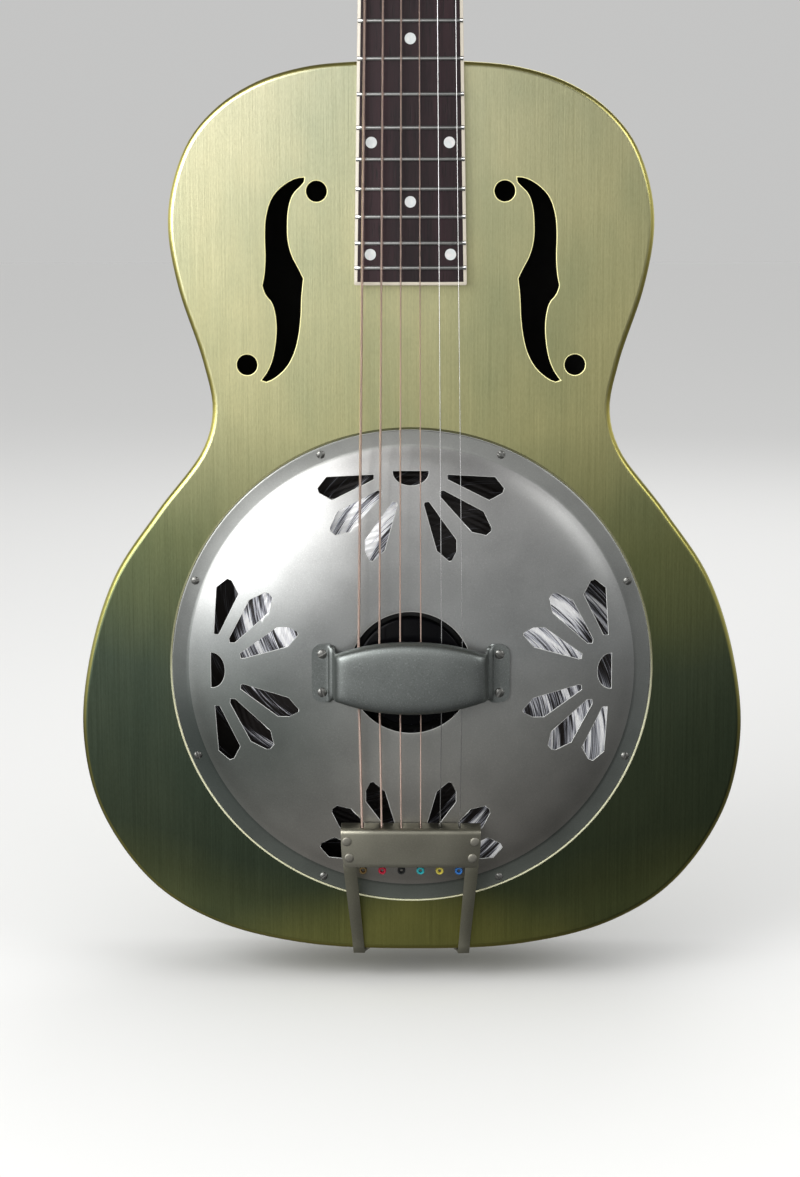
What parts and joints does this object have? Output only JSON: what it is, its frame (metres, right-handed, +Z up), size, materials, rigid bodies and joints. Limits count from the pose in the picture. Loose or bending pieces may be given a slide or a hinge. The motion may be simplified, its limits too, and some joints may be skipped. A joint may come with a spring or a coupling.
{
  "type": "resonator guitar",
  "caption": "Metal-bodied resonator guitar with a spun cone under a fan-pierced cover plate, hand rest, folded tailpiece, round wooden neck and open worm-gear tuners.",
  "frame": {"origin": "on the outside of the flat back plate, directly behind the centre of the cover plate", "axes": "+Z up the neck from the body to the headstock, the front faces -Y, +X is the treble side"},
  "size_m": [0.3532, 0.1163, 0.9728],
  "materials": {
    "body_metal": "satin brushed plated metal with fine vertical brush lines",
    "antique_nickel": "dull antique nickel, faintly pitted",
    "plated_screws": "nickel-plated fasteners, softly polished",
    "spun_aluminium": "bright spun aluminium with turning marks",
    "black_lacquer": "black painted wood",
    "saddle_maple": "bare maple",
    "neck_wood": "dark stained mahogany, satin lacquer",
    "fingerboard_wood": "oiled dark red-brown rosewood",
    "binding": "aged cream plastic",
    "bone": "polished bone",
    "pale_wood": "bare pale wood",
    "steel": "bright machined steel",
    "tuner_knob": "plated steel worm and shaft with a cream button pressed on",
    "wound_string": "phosphor-bronze wound wire",
    "plain_string": "plain tinned steel wire"
  },
  "bodies": {
    "instrument": {"body_top": "body_metal", "body_sides": "body_metal", "body_back": "body_metal", "sound_well": "body_metal", "resonator_cone": "spun_aluminium", "biscuit": "black_lacquer", "biscuit_screw": "plated_screws", "saddle": "saddle_maple", "cover_plate": "antique_nickel", "hand_rest": "antique_nickel", "hand_rest_screw_1": "plated_screws", "hand_rest_screw_2": "plated_screws", "hand_rest_screw_3": "plated_screws", "hand_rest_screw_4": "plated_screws", "cover_screw_1": "plated_screws", "cover_screw_2": "plated_screws", "cover_screw_3": "plated_screws", "cover_screw_4": "plated_screws", "cover_screw_5": "plated_screws", "cover_screw_6": "plated_screws", "cover_screw_7": "plated_screws", "cover_screw_8": "plated_screws", "tailpiece_plate": "antique_nickel", "tailpiece_frame": "antique_nickel", "tailpiece_rivet_1": "plated_screws", "tailpiece_rivet_2": "plated_screws", "tailpiece_rivet_3": "plated_screws", "tailpiece_rivet_4": "plated_screws", "strap_button": "plated_screws", "end_block": "pale_wood", "neck_stick": "pale_wood", "neck_stick_post": "pale_wood", "neck": "neck_wood", "truss_rod": "steel", "fingerboard": "fingerboard_wood", "fingerboard_binding": "binding", "fingerboard_wedge": "neck_wood", "nut": "bone", "headstock_overlay": "black_lacquer", "truss_rod_cover": "black_lacquer", "tuner_strip_left": "antique_nickel", "tuner_strip_right": "antique_nickel", "string_1": "wound_string", "string_2": "wound_string", "string_3": "wound_string", "string_4": "wound_string", "string_5": "plain_string", "string_6": "plain_string"},
    "knob_1": {"tuner_knob_1": "tuner_knob"},
    "post_1": {"tuner_post_1": "steel"},
    "knob_2": {"tuner_knob_2": "tuner_knob"},
    "post_2": {"tuner_post_2": "steel"},
    "knob_3": {"tuner_knob_3": "tuner_knob"},
    "post_3": {"tuner_post_3": "steel"},
    "knob_4": {"tuner_knob_4": "tuner_knob"},
    "post_4": {"tuner_post_4": "steel"},
    "knob_5": {"tuner_knob_5": "tuner_knob"},
    "post_5": {"tuner_post_5": "steel"},
    "knob_6": {"tuner_knob_6": "tuner_knob"},
    "post_6": {"tuner_post_6": "steel"}
  },
  "joints": [
    {"name": "knob_1_turn", "type": "hinge", "parent": "instrument", "child": "knob_1", "pos_m": [-0.022, -0.03373, 0.69421], "axis": [-1, 0, 0], "continuous": true},
    {"name": "post_1_turn", "type": "hinge", "parent": "instrument", "child": "post_1", "pos_m": [-0.022, -0.03623, 0.68572], "axis": [0, -0.9593, 0.2823], "continuous": true},
    {"name": "knob_2_turn", "type": "hinge", "parent": "instrument", "child": "knob_2", "pos_m": [-0.022, -0.02357, 0.72875], "axis": [-1, 0, 0], "continuous": true},
    {"name": "post_2_turn", "type": "hinge", "parent": "instrument", "child": "post_2", "pos_m": [-0.022, -0.02606, 0.72026], "axis": [0, -0.9593, 0.2823], "continuous": true},
    {"name": "knob_3_turn", "type": "hinge", "parent": "instrument", "child": "knob_3", "pos_m": [-0.022, -0.0134, 0.76328], "axis": [-1, 0, 0], "continuous": true},
    {"name": "post_3_turn", "type": "hinge", "parent": "instrument", "child": "post_3", "pos_m": [-0.022, -0.0159, 0.75479], "axis": [0, -0.9593, 0.2823], "continuous": true},
    {"name": "knob_4_turn", "type": "hinge", "parent": "instrument", "child": "knob_4", "pos_m": [0.022, -0.0134, 0.76328], "axis": [1, 0, 0], "continuous": true},
    {"name": "post_4_turn", "type": "hinge", "parent": "instrument", "child": "post_4", "pos_m": [0.022, -0.0159, 0.75479], "axis": [0, -0.9593, 0.2823], "continuous": true},
    {"name": "knob_5_turn", "type": "hinge", "parent": "instrument", "child": "knob_5", "pos_m": [0.022, -0.02357, 0.72875], "axis": [1, 0, 0], "continuous": true},
    {"name": "post_5_turn", "type": "hinge", "parent": "instrument", "child": "post_5", "pos_m": [0.022, -0.02606, 0.72026], "axis": [0, -0.9593, 0.2823], "continuous": true},
    {"name": "knob_6_turn", "type": "hinge", "parent": "instrument", "child": "knob_6", "pos_m": [0.022, -0.03373, 0.69421], "axis": [1, 0, 0], "continuous": true},
    {"name": "post_6_turn", "type": "hinge", "parent": "instrument", "child": "post_6", "pos_m": [0.022, -0.03623, 0.68572], "axis": [0, -0.9593, 0.2823], "continuous": true}
  ],
  "couplings": [
    {"joint": "post_1_turn", "follows": "knob_1_turn", "ratio": -0.0625},
    {"joint": "post_2_turn", "follows": "knob_2_turn", "ratio": -0.0625},
    {"joint": "post_3_turn", "follows": "knob_3_turn", "ratio": -0.0625},
    {"joint": "post_4_turn", "follows": "knob_4_turn", "ratio": 0.0625},
    {"joint": "post_5_turn", "follows": "knob_5_turn", "ratio": 0.0625},
    {"joint": "post_6_turn", "follows": "knob_6_turn", "ratio": 0.0625}
  ]
}
